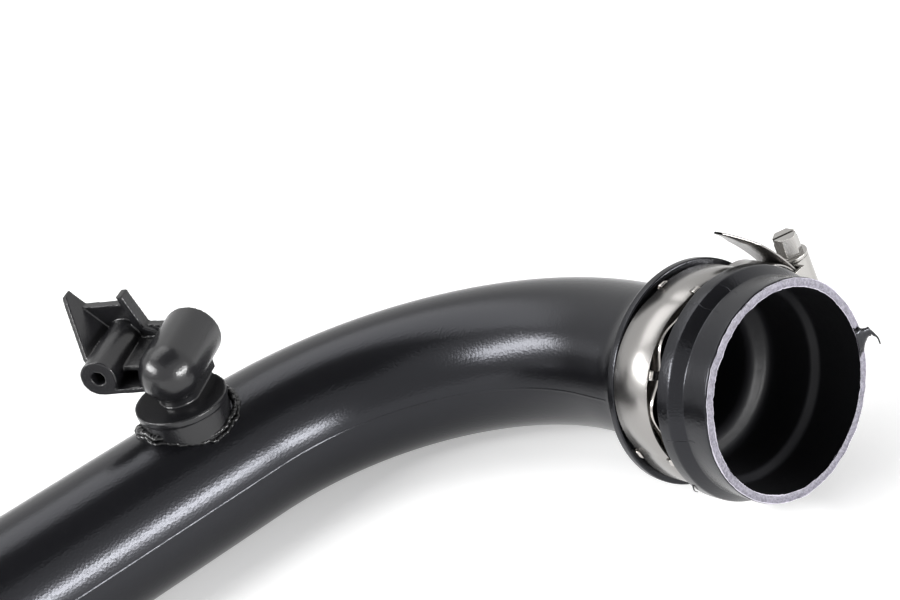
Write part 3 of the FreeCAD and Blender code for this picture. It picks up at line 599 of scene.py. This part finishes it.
# the screw is a sixth of a turn on from the solid, so its slot turns and its hexagon stays where it was
SIXTH_TURN = math.radians(60)
screw_out = HOUSE_OUT + HOUSE + 1.5 * BAND_THICK + LAYER_GAP + HOUSE_CLEARANCE + SCREW_RADIUS
screw_foot = screw_out * ways(HOUSE_AT)
screw_tip = screw_foot + ways(HOUSE_AT + math.pi / 2)
pivot, ahead = [Vector(to_frame(in_clamp(*at, BAND_MIDDLE))) for at in (screw_foot, screw_tip)]
turn = Matrix.Rotation(SIXTH_TURN, 4, ahead - pivot)
screw.data.transform(Matrix.Translation(pivot) @ turn @ Matrix.Translation(-pivot))
for piece, width in ((house, 0.0003), (screw, 0.00045)):
    bevel = piece.modifiers.new("eased", "BEVEL")
    bevel.width = width
    bevel.segments = 3
    bevel.limit_method = "ANGLE"
    bevel.angle_limit = math.radians(40)
    piece.modifiers.new("flat_faces", "WEIGHTED_NORMAL")


# Stage

def add_lamp(name, place_m, look_m, wide, high, watts):
    """A rectangular lamp of a size in metres, turned to look at a place."""
    lamp = bpy.data.lights.new(name, "AREA")
    lamp.shape = "RECTANGLE"
    lamp.size, lamp.size_y = wide, high
    lamp.energy = watts
    thing = bpy.data.objects.new(name, lamp)
    thing.location = place_m
    thing.rotation_euler = (Vector(look_m) - Vector(place_m)).to_track_quat("-Z", "Y").to_euler()
    bpy.context.collection.objects.link(thing)


def add_sheet(name, corners, material):
    """A flat sheet between four corners."""
    mesh = bpy.data.meshes.new(name)
    mesh.from_pydata(corners, [], [(0, 1, 2, 3)])
    mesh.materials.append(material)
    sheet = bpy.data.objects.new(name, mesh)
    bpy.context.collection.objects.link(sheet)


def where_seen(tree, hidden, shown, socket):
    """Sets a strength that differs for rays that show the surroundings: from the camera, gloss or glass."""
    ray = add_node(tree, "LightPath")
    seen = add_node(tree, "Math", [(0, ray.outputs["Is Camera Ray"]), (1, ray.outputs["Is Glossy Ray"])],
                    operation="MAXIMUM")
    seen = add_node(tree, "Math", [(0, seen.outputs[0]), (1, ray.outputs["Is Transmission Ray"])],
                    operation="MAXIMUM")
    level = add_node(tree, "MapRange", [("Value", seen.outputs[0])], **{"To Min": hidden, "To Max": shown})
    tree.links.new(level.outputs["Result"], socket)


# A box at the right front gives the bright line along the pipe, one at the left the broad gleam on the bend.
MIDDLE = (0.0, 0.0, 0.05)
add_lamp("front_box", (0.38, -1.05, 0.14), MIDDLE, wide=1.0, high=0.18, watts=22)
add_lamp("left_box", (-0.84, 0.36, 0.62), MIDDLE, wide=0.8, high=0.24, watts=14)
add_lamp("top_box", (0.0, 0.6, 1.2), (0.0, 0.0, 0.0), wide=1.2, high=0.8, watts=6)

paper = new_material("white_paper", "f4f4f4", 0.9, Emission_Color=linear("ffffff"))
where_seen(paper.node_tree, 0.0, 0.35, paper.node_tree.nodes["Principled BSDF"].inputs["Emission Strength"])
add_sheet("floor", [(-4, -4, 0), (4, -4, 0), (4, 4, 0), (-4, 4, 0)], paper)

# A grey card high overhead, as in a photo studio: it keeps the plastic dark between its gleams.
felt = new_material("grey_felt", "b4b4b6", 1.0, Specular_IOR_Level=0.0)
add_sheet("grey_card", [(-2.4, -3.3, 4.0), (3.3, -3.3, 4.0), (3.3, 1.1, 4.0), (-2.4, 1.1, 4.0)], felt)

world = bpy.data.worlds.new("studio")
world.use_nodes = True
background = world.node_tree.nodes["Background"]
background.inputs["Color"].default_value = linear("ffffff")
where_seen(world.node_tree, 0.35, 1.0, background.inputs["Strength"])

# The camera, as it was fitted to the photo: its place in mm from the duct's far end, its right and its up.
EYE = ORIGIN + np.array([-90.247, -605.50, 366.46]) / 1000
RIGHT, ABOUT_UP = np.array([0.73462, -0.63106, -0.24920]), np.array([0.46647, 0.20305, 0.86092])
BACK = np.cross(RIGHT, ABOUT_UP)
camera_data = bpy.data.cameras.new("camera")
camera_data.lens = 80.598
camera_data.sensor_width = 36.0
camera = bpy.data.objects.new("camera", camera_data)
columns = np.stack([RIGHT, np.cross(BACK, RIGHT), BACK, EYE], 1)
camera.matrix_world = Matrix([*columns.tolist(), [0, 0, 0, 1]])
bpy.context.collection.objects.link(camera)

scene = bpy.context.scene
scene.world = world
scene.view_settings.view_transform = "Standard"
scene.camera = camera
